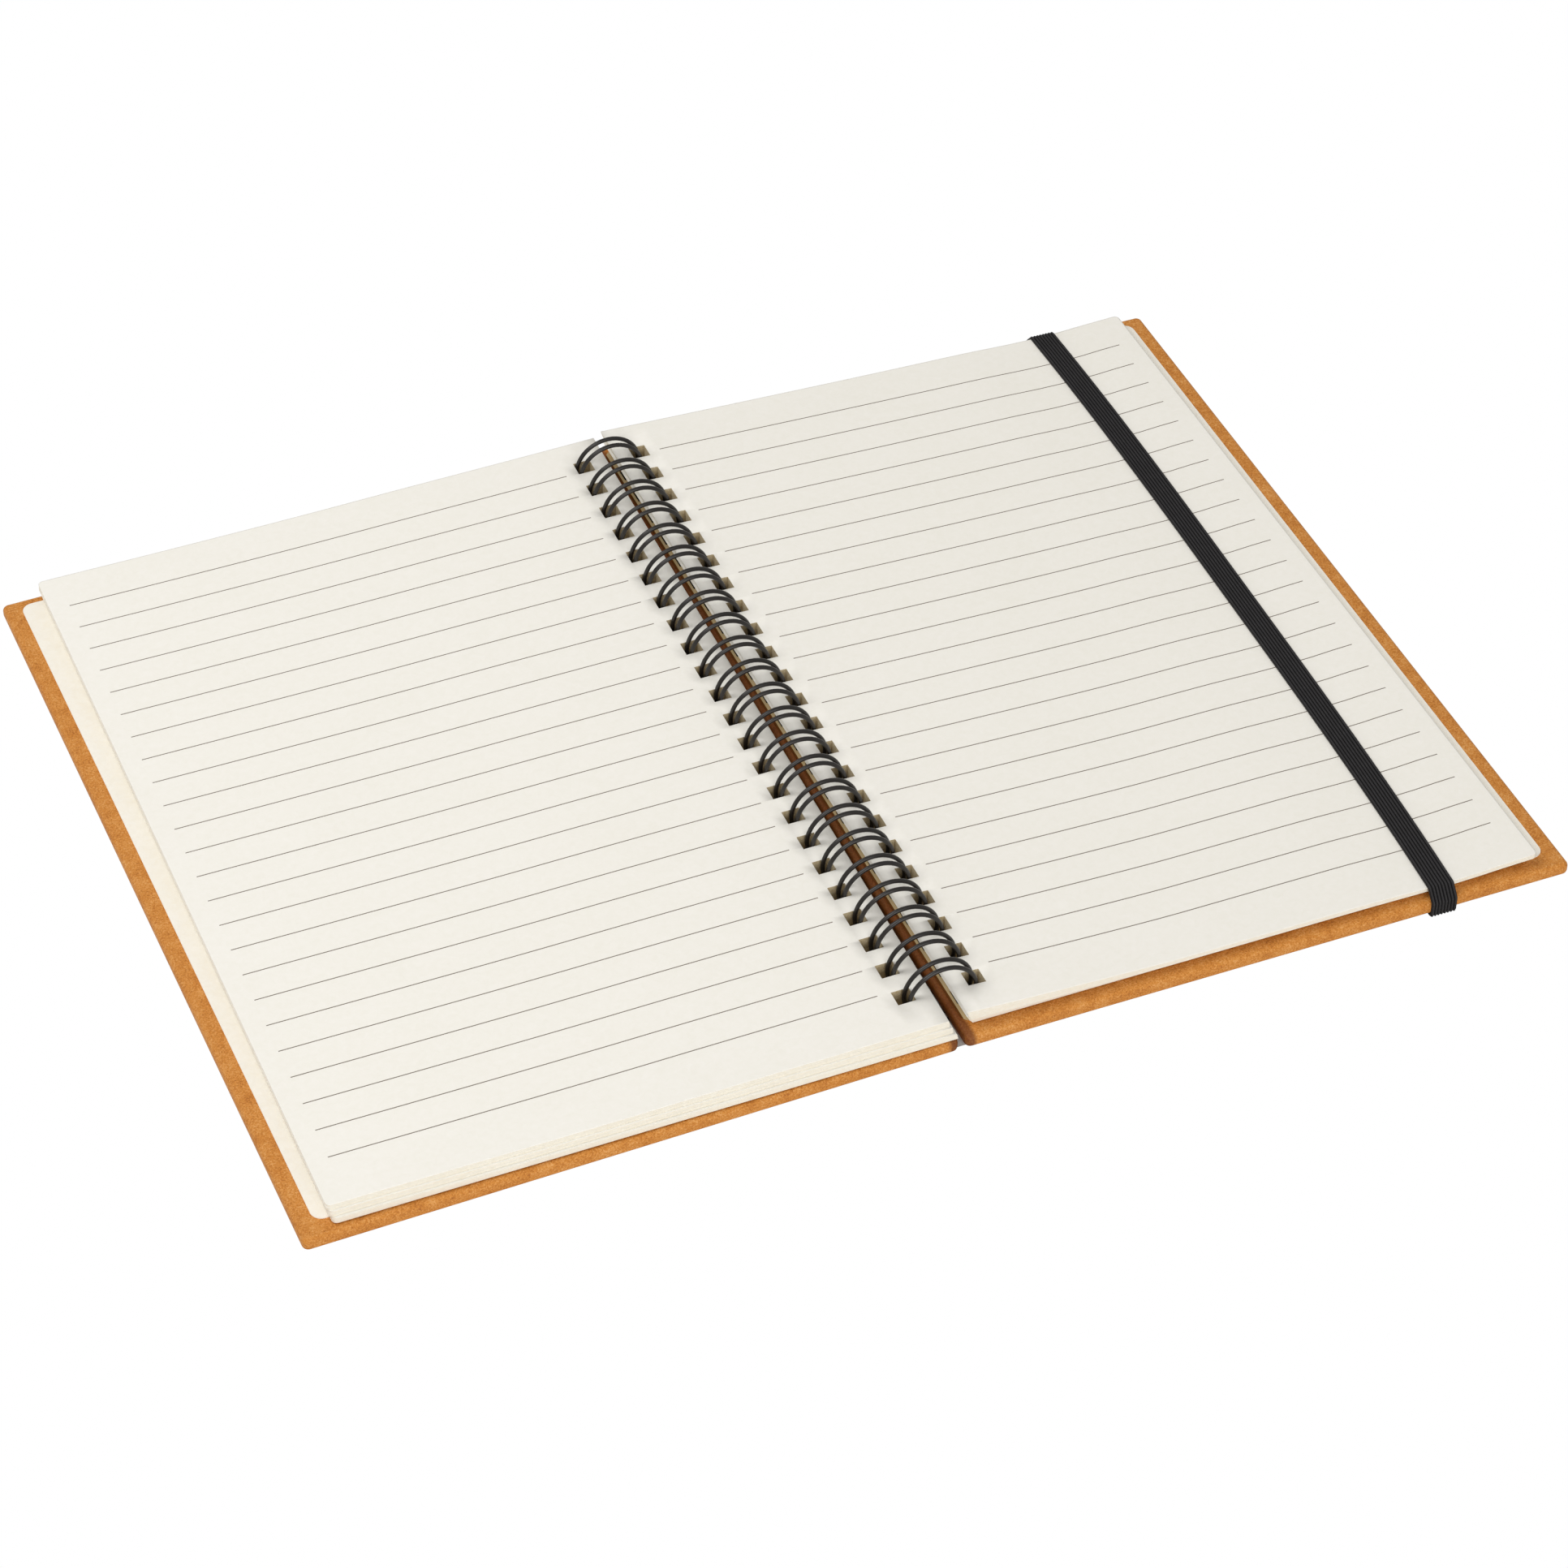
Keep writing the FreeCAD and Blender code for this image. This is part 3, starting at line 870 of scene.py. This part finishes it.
@dataclass(frozen=True)
class PhotoCamera:
    """The camera that took the photograph, fitted to it.

    Attributes:
        place: Its place in millimetres.
        azimuth: Its heading in degrees, clockwise from the head of the pages.
        down: How far it looks down, in degrees.
        roll: Its roll in degrees.
        focal_share: Focal length as a share of the picture's width.
    """

    place: tuple[float, float, float]
    azimuth: float
    down: float
    roll: float
    focal_share: float

    def build(self) -> None:
        """Add the camera and make it the scene's own."""
        data = bpy.data.cameras.new("photo_camera")
        data.sensor_width = 36.0
        data.lens = data.sensor_width * self.focal_share
        data.clip_start = 0.05
        data.clip_end = 20.0
        camera = bpy.data.objects.new("photo_camera", data)
        bpy.context.scene.collection.objects.link(camera)
        heading = Matrix.Rotation(math.radians(-self.azimuth), 4, "Z")
        tilt = Matrix.Rotation(math.radians(90 - self.down), 4, "X")
        roll = Matrix.Rotation(math.radians(self.roll), 4, "Z")
        camera.matrix_world = Matrix.Translation(Vector(self.place) * MM) @ heading @ tilt @ roll
        bpy.context.scene.camera = camera


PHOTO_CAMERA = PhotoCamera(
    place=(-320.1, -743.1, 724.0),
    azimuth=23.616,
    down=42.305,
    roll=0.906,
    focal_share=6071.0 / 1932,
)


@dataclass(frozen=True)
class Softbox:
    """A square area light that faces the notebook.

    Attributes:
        name: Its name.
        place: Its place in metres.
        size: Its side in metres.
        power: Its power in watts.
    """

    name: str
    place: tuple[float, float, float]
    size: float
    power: float

    def build(self) -> None:
        """Add the light."""
        data = bpy.data.lights.new(self.name, "AREA")
        data.size = self.size
        data.energy = self.power
        light = bpy.data.objects.new(self.name, data)
        bpy.context.scene.collection.objects.link(light)
        aim = (-Vector(self.place)).to_track_quat("-Z", "Y").to_matrix().to_4x4()
        light.matrix_world = Matrix.Translation(self.place) @ aim


SOFTBOXES = (
    Softbox("key_light", (-0.5, 0.1, 0.93), 0.6, 4.6),
    Softbox("front_light", (-0.05, -1.35, 0.42), 0.8, 7.0),
)
ROOM_GLOW = 0.49
ROOM_GLOW_COLOUR = (1.0, 0.985, 0.955, 1)
WHITE = (1, 1, 1, 1)
FLOOR_COLOUR = "E6E4E0"
FLOOR_HALF_SIDE = 3000.0
SEAM_MIDDLE = (0.9, 1.0)
SEAM_HALF_SIZE = (2.1, 103.0)


def build_room() -> None:
    """Add the white room: even light, and white wherever the camera looks past the notebook."""
    world = bpy.data.worlds.new("white_room")
    world.use_nodes = True
    tree = world.node_tree
    tree.nodes.clear()
    seen = add_node(tree, "ShaderNodeLightPath", {}).outputs["Is Camera Ray"]
    white = add_node(tree, "ShaderNodeBackground", {"Color": WHITE, "Strength": 1.0})
    glow = add_node(tree, "ShaderNodeBackground", {"Color": ROOM_GLOW_COLOUR, "Strength": ROOM_GLOW})
    mix = add_node(tree, "ShaderNodeMixShader", {0: seen, 1: glow.outputs[0], 2: white.outputs[0]})
    add_node(tree, "ShaderNodeOutputWorld", {"Surface": mix.outputs[0]})
    bpy.context.scene.world = world
    bpy.context.scene.view_settings.view_transform = "Standard"


def build_floor() -> None:
    """Add the white table, which holds back light from below.

    The camera sees it pure white and without shadows, but for the seam between the covers.
    """
    bm = bmesh.new()
    bmesh.ops.create_grid(bm, x_segments=1, y_segments=1, size=FLOOR_HALF_SIDE)
    floor = new_object("white_table", bm)
    material = bpy.data.materials.new("white_table")
    material.use_nodes = True
    tree = material.node_tree
    tree.nodes.clear()
    place = add_node(tree, "ShaderNodeTexCoord", {}).outputs["Object"]
    sides = add_node(tree, "ShaderNodeSeparateXYZ", {"Vector": place}).outputs
    ranges = [
        {0: side, 1: middle * MM, 2: half * MM}
        for side, middle, half in zip(sides, SEAM_MIDDLE, SEAM_HALF_SIZE)
    ]
    inside = [add_node(tree, "ShaderNodeMath", limits, operation="COMPARE").outputs[0] for limits in ranges]
    seam = add_node(tree, "ShaderNodeMath", {0: inside[0], 1: inside[1]}, operation="MULTIPLY").outputs[0]
    outside = add_node(tree, "ShaderNodeMath", {0: 1.0, 1: seam}, operation="SUBTRACT").outputs[0]
    camera = add_node(tree, "ShaderNodeLightPath", {}).outputs["Is Camera Ray"]
    seen = add_node(tree, "ShaderNodeMath", {0: camera, 1: outside}, operation="MULTIPLY").outputs[0]
    matte = add_node(tree, "ShaderNodeBsdfDiffuse", {"Color": linear(FLOOR_COLOUR)})
    white = add_node(tree, "ShaderNodeEmission", {"Color": WHITE, "Strength": 1.0})
    mix = add_node(tree, "ShaderNodeMixShader", {0: seen, 1: matte.outputs[0], 2: white.outputs[0]})
    add_node(tree, "ShaderNodeOutputMaterial", {"Surface": mix.outputs[0]})
    floor.data.materials.append(material)


def dress(nodes: dict, looks: Looks) -> None:
    """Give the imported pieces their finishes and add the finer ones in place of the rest.

    Args:
        nodes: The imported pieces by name.
        looks: The scene's materials.
    """
    for end in ("front", "back"):
        looks.give(nodes[end + "_cover_leather"], LEATHER)
        looks.give(nodes[end + "_board"], BOARD)
        looks.give(nodes[end + "_pastedown"], PASTEDOWN)
    for seed, stack in enumerate((LEFT_STACK, RIGHT_STACK)):
        leaves = LeafMaker(stack, seed).build()
        looks.give(leaves, PAPER, INK, LEAF_EDGE, HOLE_EDGE_SHADE)
        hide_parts(stack.node)
        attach(leaves, stack.body)
        stack.bed.upward()
        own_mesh(leaves)
    fine_pieces = (
        (build_wire, "twin_loop_wire", (WIRE,)),
        (build_elastic, "elastic_band", (ELASTIC, ELASTIC_GROOVE_SHADE)),
    )
    for build, node, finishes in fine_pieces:
        piece = build()
        looks.give(piece, *finishes)
        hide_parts(node)
        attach(piece, "back_cover")


def main() -> None:
    """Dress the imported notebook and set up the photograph's camera, room and light."""
    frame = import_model()
    dress(frame["nodes"], Looks())
    build_floor()
    build_room()
    PHOTO_CAMERA.build()
    for softbox in SOFTBOXES:
        softbox.build()


if __name__ == "__main__":
    logging.basicConfig(level=logging.INFO)
    main()
